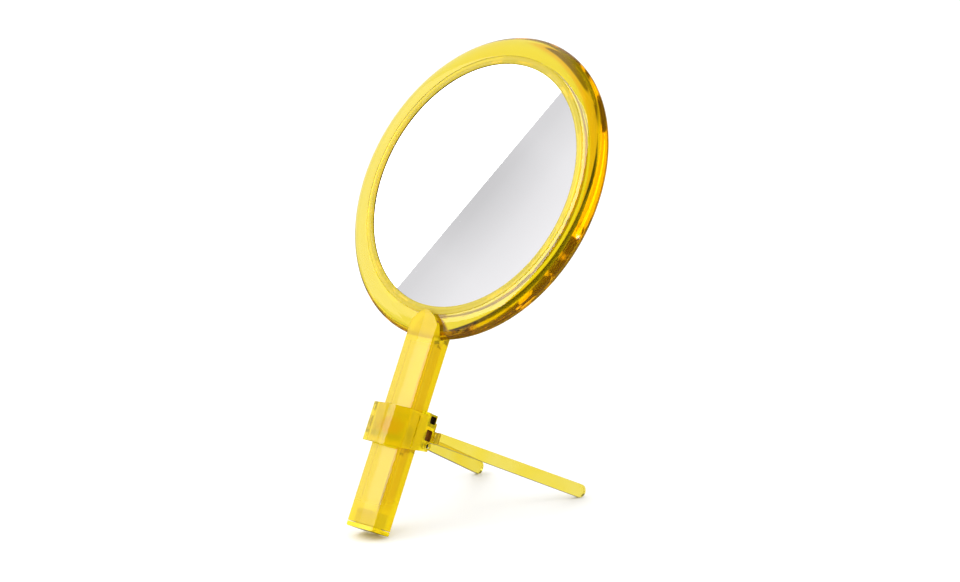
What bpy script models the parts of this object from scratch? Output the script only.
# Double-sided hand mirror with a sliding collar and a fold-out two-legged stand.
# Everything is drawn in millimetres in the mirror's own frame and hung from one empty that
# leans it onto the table:
#   x = sideways, y = back (the plain glass looks along -y), z = up along the handle,
#   origin = middle of the ring.
import bpy
import bmesh
import math
from mathutils import Vector

for ob in list(bpy.data.objects):
    bpy.data.objects.remove(ob, do_unlink=True)

MM = 0.001               # metres in a millimetre
GAP = 0.3                # clearance between neighbouring pieces
WELD = 1e-5              # points closer than this are merged
SMOOTH_ANGLE = math.radians(32)
SIDES = ((-1, "L"), (1, "R"))

# Ring, D-shaped section, thickest at its inner lip
RING_R = 80.0
LIP_R = 64.34
RING_HALF_T = 4.44
RING_SEGMENTS = 80
REBATE_R = 68.5          # seat for the bezel
WEB_R = 64.6             # the web the two glasses rest on
WEB_HALF_T = 1.6

# Glasses, pad and bezels
GLASS_R = 66.3
GLASS_T = 1.6
GLASS_SEAT = WEB_HALF_T + GAP
BEVEL_W, BEVEL_H = 0.6, 0.35
MAGNIFIER_RADIUS = 1000.0    # spherical radius of the magnifying glass
DISH_STEPS = 6
PAD_R = 63.9
BEZEL_OUT = REBATE_R - GAP
BEZEL_IN = GLASS_R + GAP
BEZEL_FACE = 4.5         # furthest reach of a bezel from the ring's middle plane

# Handle: flattened hexagon bar
HANDLE_HALF_W = 9.4
HANDLE_FLAT = 5.75       # half height of the side flats
HANDLE_RIDGE = 7.0       # half thickness at the ridge
HANDLE_END = -177.4
HANDLE_BLANK_TOP = -60.0     # the arch trims the bar below this
EDGE_R, RIDGE_R = 0.7, 6.0
ARCH_TOP = -67.1
ARCH_H = 8.6
ARCH_HALF_W = HANDLE_HALF_W + 0.1
ARCH_POWER = 1.18        # the arch is a little pointed
ARCH_STEPS = 19
SADDLE_IN = 58.0         # inner radius of the cutter for the fork
SADDLE_STEPS = 12
PLUG_T = 2.2
PLUG_CORNER_R = 1.4
HANDLE_BOTTOM = HANDLE_END + PLUG_T + GAP
SOCKET_HALF_W, SOCKET_HALF_H, SOCKET_DEPTH = 6.4, 3.7, 7.0
SOCKET_CORNER_R, SPIGOT_CORNER_R = 1.2, 0.9
TRIM_Y = 9.0             # half thickness of the cutters that trim handle and plug

# Collar: a sleeve with a bulging front wall and a thick back wall that carries the hinge
COLLAR_TOP = -116.6
BLOCK_TOP = -114.9       # the back block stands higher than the front
BLOCK_Y = 2.4            # front face of the back block above the collar's top
COLLAR_BOTTOM = -134.6   # height of the sloping bottom face at y = 0
COLLAR_RAKE = 0.15       # rise of the bottom face towards the back
COLLAR_BLANK_BOTTOM = COLLAR_BOTTOM - 7.4
COLLAR_HALF_W = 13.4
COLLAR_FRONT = 12.0      # front wall in the middle
COLLAR_CORNER = 8.9      # front wall at the corners
FRONT_STEPS = 12
STEP_Y, STEP_RUN = 4.9, 0.45     # behind this the sides step in
BACK_HALF_W = 12.4
COLLAR_BACK = 11.0
SLIDE_GAP = 0.35
BORE_EDGE_R = 0.6
PANEL_DEPTH, PANEL_Y = 0.55, (-7.2, -2.0)
PANEL_Z = (COLLAR_BOTTOM + 0.4, COLLAR_TOP - 1.2)
POCKET_DEPTH, POCKET_Y = 2.0, (6.1, 10.1)
POCKETS = (("top", -119.6, -115.8), ("low", -128.2, -122.7))     # tag, bottom z, top z
CUT_REACH = 20.0         # reach of the collar and hinge cutters from the axis
CUT_BOTTOM, CUT_TOP = COLLAR_BOTTOM - 16, COLLAR_TOP + 7

# Hinge in the notch at the bottom of the collar's back wall
PIN_Y, PIN_Z = 9.35, -130.4
PIN = (PIN_Y, PIN_Z)
HINGE_ORIGIN = (0.0, PIN_Y, PIN_Z)
PIN_R, PIN_HOLE_R, PIN_HALF = 1.2, 1.3, 12.1
KNUCKLE_R = 1.95
NOTCH_HALF_W, NOTCH_TOP = 8.5, -127.7
NOTCH_Y = (5.5, 14.0)
BOSS_H, BOSS_ROOT = 0.5, 1.0     # reach outside and inside the collar's side

# Stand
YOKE_HALF_W = 10.6
YOKE_Y0, YOKE_Y1 = 11.3, 13.4
YOKE_TOP = -118.2
CROSSBAR_BACK = 16.6
LEG_BOTTOM, LEG_TOP = -128.1, -122.3     # at the root
LEG_T = 3.0
LEG_ROOT = (13.05, 13.5)     # x, y
LEG_TIP = (35.5, 101.5)      # x, y
LEG_TIP_Z = -124.8
LEG_TIP_R = 3.35
LEG_TIP_STEPS = 14
BARREL_HALF = NOTCH_HALF_W - GAP
BARREL_TRIM = 0.001      # keeps the barrel's ends off the arm's side planes
CROSSBAR_HALF = LEG_ROOT[0] - LEG_T / 2 - 0.25
LEG_SOCKET_Y = (13.75, CROSSBAR_BACK - 0.7)
LEG_SOCKET_Z = (LEG_BOTTOM + 1.2, LEG_TOP - 1.2)
LEG_SOCKET_DEPTH = 4.0
TONGUE_ROOT = 1.9        # reach of the tongue outside the crossbar, into the leg

# Colours
YELLOW = (0.93, 0.74, 0.02)
SILVER = (0.9, 0.9, 0.9)
STEEL = (0.5, 0.5, 0.52)
OFF_WHITE = (0.85, 0.85, 0.82)


# ---------------------------------------------------------------- materials
def material(name, color, roughness, metallic=0.0):
    mat = bpy.data.materials.new(name)
    mat.use_nodes = True
    shader = mat.node_tree.nodes["Principled BSDF"]
    shader.inputs["Base Color"].default_value = (*color, 1.0)
    shader.inputs["Roughness"].default_value = roughness
    shader.inputs["Metallic"].default_value = metallic
    mat.diffuse_color = (*color, 1.0)
    return mat


def yellow(part, roughness=0.1):
    return material("clear_yellow_" + part, color=YELLOW, roughness=roughness)


def mirror_glass(side):
    return material("mirror_glass_" + side, color=SILVER, roughness=0.02, metallic=1.0)


# ---------------------------------------------------------------- outlines
def rect(x0, x1, y0, y1):
    return [(x0, y0), (x1, y0), (x1, y1), (x0, y1)]


def rounded(corners, radius, steps):
    """Rounds a polygon's corners. radius may be one number or one for each corner."""
    count = len(corners)
    radii = radius if isinstance(radius, list) else [radius] * count
    out = []
    for i, r in enumerate(radii):
        before, corner, after = (Vector(corners[(i + k) % count]) for k in (-1, 0, 1))
        if r <= 0:
            out.append(tuple(corner))
            continue
        back, ahead = (before - corner).normalized(), (after - corner).normalized()
        half = back.angle(ahead) / 2
        tangent = r / math.tan(half)
        centre = corner + (back + ahead).normalized() * (r / math.sin(half))
        start = corner + back * tangent - centre
        end = corner + ahead * tangent - centre
        angle0 = math.atan2(start.y, start.x)
        angle1 = math.atan2(end.y, end.x)
        turn = (angle1 - angle0 + math.pi) % (2 * math.pi) - math.pi
        for k in range(steps + 1):
            angle = angle0 + turn * k / steps
            out.append((centre.x + r * math.cos(angle), centre.y + r * math.sin(angle)))
    return out


def hexagon(grow, edge_r):
    """The handle's section (x, y), grown outwards by a clearance."""
    w, flat, ridge = HANDLE_HALF_W + grow, HANDLE_FLAT + grow, HANDLE_RIDGE + grow
    corners = [(-w, -flat), (0.0, -ridge), (w, -flat), (w, flat), (0.0, ridge), (-w, flat)]
    return rounded(corners, [edge_r, RIDGE_R, edge_r] * 2, 2)


def signed_span(sign, near, far):
    """A span of x on one side of the middle, in rising order."""
    return sorted((sign * near, sign * far))


# ---------------------------------------------------------------- solids
def bridge(start, end):
    """Closed solid between two outlines of 3D points."""
    bm = bmesh.new()
    a = [bm.verts.new(p) for p in start]
    b = [bm.verts.new(p) for p in end]
    bm.faces.new(a)
    bm.faces.new(list(reversed(b)))
    for i in range(len(a)):
        j = (i + 1) % len(a)
        bm.faces.new((a[i], b[i], b[j], a[j]))
    return bm


def prism(points, axis, lo, hi):
    """Extrudes a polygon along an axis. Its pairs are the other two axes in x, y, z order."""
    def at(height):
        return [(*p[:axis], height, *p[axis:]) for p in points]

    return bridge(at(lo), at(hi))


def box(x0, x1, y0, y1, z0, z1):
    return prism(rect(x0, x1, y0, y1), 2, z0, z1)


def pin_rod(radius, lo, hi, segments=24):
    """Rod along x on the hinge's axis."""
    angles = [2 * math.pi * k / segments for k in range(segments)]
    circle = [(PIN_Y + radius * math.cos(a), PIN_Z + radius * math.sin(a)) for a in angles]
    return prism(circle, 0, lo, hi)


def revolve(profile):
    """Turns a closed (r, y) profile round the y axis. A point with r = 0 becomes a pole."""
    bm = bmesh.new()
    angles = [2 * math.pi * k / RING_SEGMENTS for k in range(RING_SEGMENTS)]
    rings = []
    for r, y in profile:
        if r < 1e-6:
            rings.append([bm.verts.new((0.0, y, 0.0))] * RING_SEGMENTS)
        else:
            rings.append([bm.verts.new((r * math.cos(a), y, r * math.sin(a))) for a in angles])
    for i, a in enumerate(rings):
        b = rings[(i + 1) % len(rings)]
        if a[0] is a[1] and b[0] is b[1]:
            continue         # both are poles
        for k in range(RING_SEGMENTS):
            n = (k + 1) % RING_SEGMENTS
            corners = list(dict.fromkeys((a[k], a[n], b[n], b[k])))
            bm.faces.new(corners)
    return bm


# ---------------------------------------------------------------- objects
def to_mesh(name, bm, origin):
    """Mesh in metres about the given origin, from a bmesh in millimetres."""
    bmesh.ops.remove_doubles(bm, verts=bm.verts, dist=WELD)
    bmesh.ops.recalc_face_normals(bm, faces=bm.faces)
    bmesh.ops.translate(bm, verts=bm.verts, vec=-Vector(origin))
    bmesh.ops.scale(bm, verts=bm.verts, vec=(MM, MM, MM))
    mesh = bpy.data.meshes.new(name)
    bm.to_mesh(mesh)
    bm.free()
    return mesh


def link(name, data):
    obj = bpy.data.objects.new(name, data)
    bpy.context.scene.collection.objects.link(obj)
    return obj


def add(name, bm, mat, origin=(0.0, 0.0, 0.0)):
    """Adds a piece with its origin at the given point of the mirror frame."""
    mesh = to_mesh(name, bm, origin)
    mesh.shade_smooth()
    mesh.set_sharp_from_angle(angle=SMOOTH_ANGLE)
    mesh.materials.append(mat)
    obj = link(name, mesh)
    obj.parent = pose
    obj.location = Vector(origin) * MM
    return obj


def combine(obj, bm, operation, name):
    """Boolean of a bmesh, in mirror-frame millimetres, onto a piece."""
    helper = link(obj.name + "." + name, to_mesh(name, bm, obj.location / MM))
    helper.parent = obj.parent
    helper.location = obj.location
    helper.hide_render = True
    helper.display_type = "WIRE"
    modifier = obj.modifiers.new(name, "BOOLEAN")
    modifier.operation = operation
    modifier.object = helper
    modifier.solver = "EXACT"


def cut(obj, bm, name):
    combine(obj, bm, "DIFFERENCE", name)


def join(obj, bm, name):
    combine(obj, bm, "UNION", name)


def keep_inside(obj, bm, name):
    combine(obj, bm, "INTERSECT", name)


# ---------------------------------------------------------------- ring and bezels
def build_ring():
    depth = RING_R - LIP_R
    end = math.acos((REBATE_R - LIP_R) / depth)
    profile = []
    for k in range(17):
        angle = -end + 2 * end * k / 16
        profile.append((LIP_R + depth * math.cos(angle), RING_HALF_T * math.sin(angle)))
    profile += [(REBATE_R, WEB_HALF_T), (WEB_R, WEB_HALF_T)]
    profile += [(WEB_R, -WEB_HALF_T), (REBATE_R, -WEB_HALF_T)]
    add("ring_frame", revolve(profile), yellow("ring", roughness=0.08))


def build_bezels():
    # radius, distance from the ring's middle plane
    profile = [
        (LIP_R, 3.85), (LIP_R, 4.25), (LIP_R + 0.45, BEZEL_FACE), (66.1, BEZEL_FACE),
        (66.35, 4.22), (67.2, 4.22), (67.35, 4.36), (BEZEL_OUT - 0.25, 4.3),
        (BEZEL_OUT, 4.05), (BEZEL_OUT, GLASS_SEAT), (BEZEL_IN, GLASS_SEAT), (BEZEL_IN, 3.85),
    ]
    for side, sign in (("front", -1), ("rear", 1)):
        bezel = revolve([(r, sign * y) for r, y in profile])
        add(side + "_bezel", bezel, yellow(side + "_bezel"))


# ---------------------------------------------------------------- glasses and pad
def dished(r, y):
    """Moves y to the front by the magnifying glass's sagitta, most in the middle."""
    rim = math.sqrt(MAGNIFIER_RADIUS ** 2 - GLASS_R ** 2)
    return y - (math.sqrt(MAGNIFIER_RADIUS ** 2 - r * r) - rim)


def dished_face(rim_r, y):
    """Points of a dished face from the middle to just short of its rim."""
    radii = [rim_r * k / DISH_STEPS for k in range(DISH_STEPS)]
    return [(r, dished(r, y)) for r in radii]


def build_front_glass():
    face = GLASS_SEAT + GLASS_T
    profile = [
        (0, -GLASS_SEAT), (GLASS_R, -GLASS_SEAT), (GLASS_R, BEVEL_H - face),
        (GLASS_R - BEVEL_W, -face), (0, -face),
    ]
    add("front_mirror_glass", revolve(profile), mirror_glass("front"))


def build_rear_glass():
    face = GLASS_SEAT + GLASS_T
    bevel_r = GLASS_R - BEVEL_W
    profile = dished_face(GLASS_R, GLASS_SEAT)
    profile += [(GLASS_R, GLASS_SEAT), (GLASS_R, face - BEVEL_H), (bevel_r, dished(bevel_r, face))]
    profile += reversed(dished_face(GLASS_R, face))
    add("rear_magnifying_glass", revolve(profile), mirror_glass("rear"))


def build_pad():
    """Pad between the glasses, dished at its back like the magnifying glass."""
    profile = [(0, -WEB_HALF_T), (PAD_R, -WEB_HALF_T), (PAD_R, dished(PAD_R, WEB_HALF_T))]
    profile += reversed(dished_face(PAD_R, WEB_HALF_T))
    add("backing_pad", revolve(profile), material("white_foam", color=OFF_WHITE, roughness=0.9))


# ---------------------------------------------------------------- handle and end plug
def arch_outline():
    """Handle seen from the front (x, z): oversize below, arched at the top."""
    side, bottom, spring = 12.0, HANDLE_BOTTOM - 1.0, ARCH_TOP - ARCH_H
    points = [(-side, bottom), (side, bottom), (side, spring), (ARCH_HALF_W, spring)]
    for k in range(1, ARCH_STEPS):
        angle = math.pi * k / ARCH_STEPS
        c, s = math.cos(angle), math.sin(angle)
        x = ARCH_HALF_W * math.copysign(abs(c) ** ARCH_POWER, c)
        points.append((x, spring + ARCH_H * s ** ARCH_POWER))
    return points + [(-ARCH_HALF_W, spring), (-side, spring)]


def saddle_profile():
    """Ring's section with clearance (r, y), which leaves a fork that straddles the ring."""
    half = BEZEL_FACE + GAP
    points = [(SADDLE_IN, -half), (LIP_R, -half)]
    for k in range(1, SADDLE_STEPS):
        angle = -math.pi / 2 + math.pi * k / SADDLE_STEPS
        r = LIP_R + (RING_R + GAP - LIP_R) * math.cos(angle)
        points.append((r, half * math.sin(angle)))
    return points + [(LIP_R, half), (SADDLE_IN, half)]


def build_handle():
    bar = prism(hexagon(0.0, EDGE_R), 2, HANDLE_BOTTOM, HANDLE_BLANK_TOP)
    handle = add("handle_body", bar, yellow("handle", roughness=0.08))
    keep_inside(handle, prism(arch_outline(), 1, -TRIM_Y, TRIM_Y), "arch")
    cut(handle, revolve(saddle_profile()), "saddle")
    w, h = SOCKET_HALF_W, SOCKET_HALF_H
    socket = rounded(rect(-w, w, -h, h), SOCKET_CORNER_R, 3)
    cut(handle, prism(socket, 2, HANDLE_BOTTOM - 2.0, HANDLE_BOTTOM + SOCKET_DEPTH), "socket")


def build_plug():
    """Cap in the handle's section with a spigot for the handle's socket."""
    top = HANDLE_END + PLUG_T
    cap = prism(hexagon(0.0, EDGE_R), 2, HANDLE_END, top)
    plug = add("handle_end_plug", cap, yellow("plug"))
    face = rect(-HANDLE_HALF_W, HANDLE_HALF_W, HANDLE_END, top)
    face = rounded(face, [PLUG_CORNER_R, PLUG_CORNER_R, 0.0, 0.0], 4)
    keep_inside(plug, prism(face, 1, -TRIM_Y, TRIM_Y), "corners")
    w, h = SOCKET_HALF_W - GAP, SOCKET_HALF_H - GAP
    spigot = rounded(rect(-w, w, -h, h), SPIGOT_CORNER_R, 3)
    spigot_top = HANDLE_BOTTOM + SOCKET_DEPTH - 1.0
    join(plug, prism(spigot, 2, HANDLE_END + 1.0, spigot_top), "spigot")


# ---------------------------------------------------------------- collar
def collar_outline():
    """Section of the collar (x, y): bulging front, sides that step in towards the back."""
    w, back_w, shoulder = COLLAR_HALF_W, BACK_HALF_W, STEP_Y + STEP_RUN
    points = []
    for k in range(FRONT_STEPS + 1):
        x = -w + 2 * w * k / FRONT_STEPS
        bulge = (COLLAR_FRONT - COLLAR_CORNER) * (1 - (x / w) ** 2)
        points.append((x, -COLLAR_CORNER - bulge))
    points += [(w, STEP_Y), (back_w, shoulder), (back_w, COLLAR_BACK)]
    points += [(-back_w, COLLAR_BACK), (-back_w, shoulder), (-w, STEP_Y)]
    radii = [1.6] + [0.0] * (FRONT_STEPS - 1) + [1.6, 0.5, 0.3, 0.9, 0.9, 0.3, 0.5]
    return rounded(points, radii, 3)


def detail_collar_side(collar, sign, tag):
    """Shallow panel, two pockets and the hinge boss on one side."""
    lo, hi = signed_span(sign, COLLAR_HALF_W - PANEL_DEPTH, COLLAR_HALF_W + 1)
    cut(collar, prism(rounded(rect(*PANEL_Y, *PANEL_Z), 0.7, 2), 0, lo, hi), "panel" + tag)
    lo, hi = signed_span(sign, BACK_HALF_W - POCKET_DEPTH, BACK_HALF_W + 3)
    for which, z0, z1 in POCKETS:
        pocket = rounded(rect(*POCKET_Y, z0, z1), 0.9, 3)
        cut(collar, prism(pocket, 0, lo, hi), "pocket" + tag + which)
    lo, hi = signed_span(sign, BACK_HALF_W - BOSS_ROOT, BACK_HALF_W + BOSS_H)
    join(collar, pin_rod(KNUCKLE_R, lo, hi), "boss" + tag)


def cut_pin_hole(obj):
    cut(obj, pin_rod(PIN_HOLE_R, -CUT_REACH, CUT_REACH), "pinhole")


def build_collar():
    reach = CUT_REACH
    blank = prism(collar_outline(), 2, COLLAR_BLANK_BOTTOM, BLOCK_TOP)
    collar = add("collar_body", blank, yellow("collar"))
    cut(collar, box(-reach, reach, -reach, BLOCK_Y, COLLAR_TOP, CUT_TOP), "step")
    below = [
        (-reach, COLLAR_BOTTOM - COLLAR_RAKE * reach), (-reach, CUT_BOTTOM),
        (reach, CUT_BOTTOM), (reach, COLLAR_BOTTOM + COLLAR_RAKE * reach),
    ]
    cut(collar, prism(below, 0, -reach, reach), "rake")
    cut(collar, prism(hexagon(SLIDE_GAP, BORE_EDGE_R), 2, CUT_BOTTOM, CUT_TOP), "bore")
    cut(collar, box(-NOTCH_HALF_W, NOTCH_HALF_W, *NOTCH_Y, CUT_BOTTOM, NOTCH_TOP), "notch")
    for sign, tag in SIDES:
        detail_collar_side(collar, sign, tag)
    cut_pin_hole(collar)


# ---------------------------------------------------------------- stand
def build_yoke():
    """Heel plate, crossbar, arm and hinge barrel; all outlines are (y, z)."""
    plate = rect(YOKE_Y0, YOKE_Y1, LEG_BOTTOM + 1, YOKE_TOP)
    plate = rounded(plate, [0, 0, 0.9, 0.5], 3)
    crossbar = rect(YOKE_Y0, CROSSBAR_BACK, LEG_BOTTOM, LEG_TOP)
    crossbar = rounded(crossbar, [0, 0.8, 0.8, 0], 3)
    arm = [
        (PIN_Y, PIN_Z - KNUCKLE_R), (PIN_Y + 2.65, PIN_Z - 1.2), (14.6, LEG_BOTTOM + 0.3),
        (YOKE_Y0, LEG_BOTTOM + 0.3), (YOKE_Y0, LEG_BOTTOM + 0.02), (PIN_Y, PIN_Z + KNUCKLE_R),
    ]
    blank = prism(plate, 0, -YOKE_HALF_W, YOKE_HALF_W)
    yoke = add("stand_yoke", blank, yellow("yoke"), HINGE_ORIGIN)
    join(yoke, prism(crossbar, 0, -CROSSBAR_HALF, CROSSBAR_HALF), "crossbar")
    join(yoke, prism(arm, 0, -BARREL_HALF, BARREL_HALF), "arm")
    barrel_end = BARREL_HALF - BARREL_TRIM
    join(yoke, pin_rod(KNUCKLE_R, -barrel_end, barrel_end), "barrel")
    cut_pin_hole(yoke)
    # a socket for the leg's tongue in each end of the crossbar
    for sign, tag in SIDES:
        lo, hi = signed_span(sign, CROSSBAR_HALF - LEG_SOCKET_DEPTH, CROSSBAR_HALF + 1)
        cut(yoke, prism(rect(*LEG_SOCKET_Y, *LEG_SOCKET_Z), 0, lo, hi), "socket" + tag)


def build_pin():
    steel = material("pin_steel", color=STEEL, roughness=0.3, metallic=1.0)
    add("hinge_pin", pin_rod(PIN_R, -PIN_HALF, PIN_HALF), steel, HINGE_ORIGIN)


def leg_outline(length):
    """Side view of a leg with a round tip: distance along the leg, z."""
    points = [(0.0, LEG_BOTTOM), (length, LEG_TIP_Z - LEG_TIP_R)]
    for k in range(1, LEG_TIP_STEPS):
        angle = -math.pi / 2 + math.pi * k / LEG_TIP_STEPS
        along = length + LEG_TIP_R * math.cos(angle)
        points.append((along, LEG_TIP_Z + LEG_TIP_R * math.sin(angle)))
    return points + [(length, LEG_TIP_Z + LEG_TIP_R), (0.0, LEG_TOP)]


LEG_RUN = (LEG_TIP[0] - LEG_ROOT[0], LEG_TIP[1] - LEG_ROOT[1])
SPLAY = math.atan2(*LEG_RUN)
LEG_LENGTH = math.hypot(*LEG_RUN)
LEG_OUTLINE = leg_outline(LEG_LENGTH)


def build_leg(side, sign):
    """Strip on edge, splayed outwards, with a tongue for the crossbar's socket."""
    along = Vector((sign * math.sin(SPLAY), math.cos(SPLAY), 0.0))
    across = Vector((math.cos(SPLAY), -sign * math.sin(SPLAY), 0.0))
    root = Vector((sign * LEG_ROOT[0], LEG_ROOT[1], 0.0))

    def face(offset):
        start = root + across * offset
        return [start + along * d + Vector((0, 0, z)) for d, z in LEG_OUTLINE]

    strip = bridge(face(-LEG_T / 2), face(LEG_T / 2))
    leg = add("stand_leg_" + side, strip, yellow("leg_" + side), HINGE_ORIGIN)
    inner = CROSSBAR_HALF - LEG_SOCKET_DEPTH + GAP
    lo, hi = signed_span(sign, inner, CROSSBAR_HALF + TONGUE_ROOT)
    (y0, y1), (z0, z1) = LEG_SOCKET_Y, LEG_SOCKET_Z
    tongue = rect(y0 + GAP, y1 - GAP, z0 + GAP, z1 - GAP)
    join(leg, prism(tongue, 0, lo, hi), "tongue")


# ---------------------------------------------------------------- pose
def lean_angle():
    """Lean at which the handle's back bottom edge and both leg tips touch the table."""
    foot_y = max(y for x, y in hexagon(0.0, EDGE_R))
    start = LEG_ROOT[1] + LEG_T / 2 * math.sin(SPLAY) - foot_y
    return min(
        math.atan2(z - HANDLE_END, start + d * math.cos(SPLAY))
        for d, z in LEG_OUTLINE if d > LEG_LENGTH / 2
    )


def set_on_table():
    """Centres the footprint in y and rests the lowest point on z = 0."""
    bpy.context.view_layer.update()
    depsgraph = bpy.context.evaluated_depsgraph_get()
    points = []
    for obj in bpy.context.scene.objects:
        if obj.type == "MESH" and not obj.hide_render:
            solid = obj.evaluated_get(depsgraph)
            points += [solid.matrix_world @ v.co for v in solid.data.vertices]
    depths = [p.y for p in points]
    pose.location.y -= (min(depths) + max(depths)) / 2
    pose.location.z -= min(p.z for p in points)


pose = link("stand_pose", None)
build_ring()
build_bezels()
build_front_glass()
build_rear_glass()
build_pad()
build_handle()
build_plug()
build_collar()
build_yoke()
build_pin()
build_leg("left", -1)
build_leg("right", 1)
pose.rotation_euler = (-lean_angle(), 0.0, 0.0)
set_on_table()
